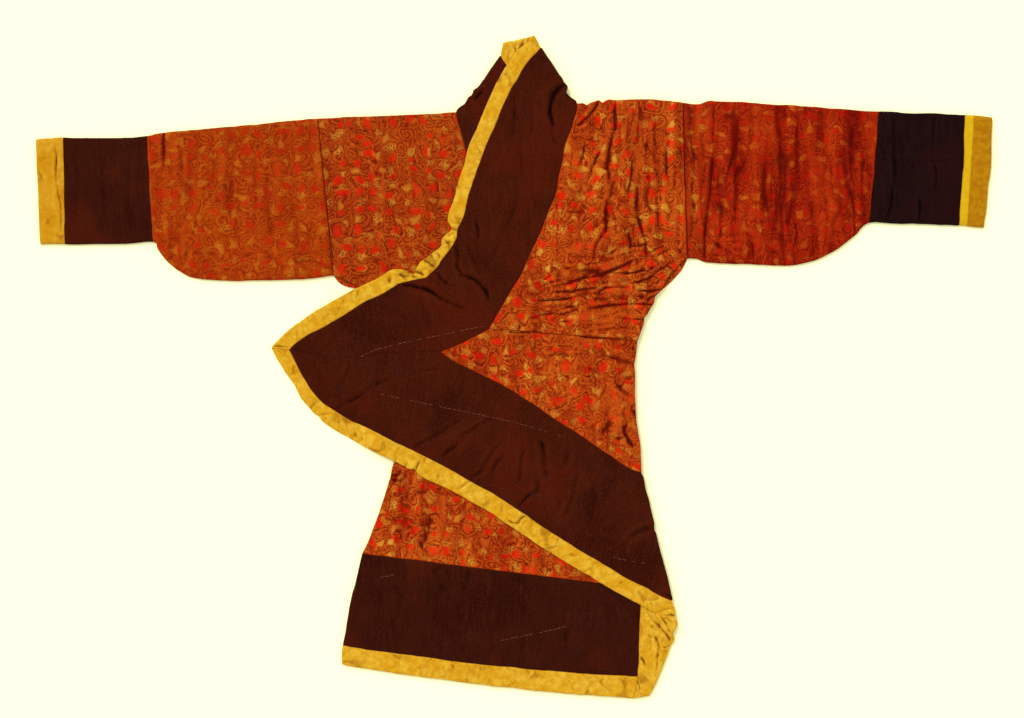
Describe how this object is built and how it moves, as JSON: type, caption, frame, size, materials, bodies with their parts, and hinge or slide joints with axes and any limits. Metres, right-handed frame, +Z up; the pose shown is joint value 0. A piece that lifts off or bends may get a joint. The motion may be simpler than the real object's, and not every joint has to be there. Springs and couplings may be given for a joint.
{
  "type": "padded silk robe laid out flat",
  "caption": "Wrap robe of padded printed silk laid out flat, arms outspread, with a deep brown collar, diagonal wrap border, brown hem and cuffs, and narrow ochre edging.",
  "frame": {"origin": "on the surface that the robe lies on, under the middle of its outline", "axes": "+X along the outspread sleeves towards the wearer's left, +Y from hem to neck, +Z up from the surface"},
  "size_m": [2.3398, 1.6206, 0.0209],
  "materials": {
    "printed_gauze": "rust silk gauze with a small printed scroll, satin to matte",
    "brown_silk": "dark brown silk, soft sheen",
    "ochre_silk": "mottled ochre silk, satin"
  },
  "bodies": {
    "root": {"back_right": "printed_gauze", "back_left": "printed_gauze", "skirt_back": "printed_gauze", "hem_border_back": "brown_silk", "hem_edging_back": "ochre_silk", "collar_back": "brown_silk", "neck_edging_back": "ochre_silk", "front_right": "printed_gauze", "collar_inner": "brown_silk", "collar_inner_edging": "ochre_silk", "skirt_inner": "printed_gauze", "hem_border_inner": "brown_silk", "hem_edging_inner": "ochre_silk", "front_edging_inner": "ochre_silk", "front_left": "printed_gauze", "collar_outer": "brown_silk", "collar_outer_edging": "ochre_silk", "skirt_outer": "printed_gauze", "wrap_border": "brown_silk", "wrap_edging": "ochre_silk", "corner_facing": "ochre_silk", "sleeve_right": "printed_gauze", "cuff_right": "brown_silk", "cuff_edging_right": "ochre_silk", "sleeve_left": "printed_gauze", "cuff_left": "brown_silk", "cuff_edging_left": "ochre_silk"}
  },
  "joints": []
}
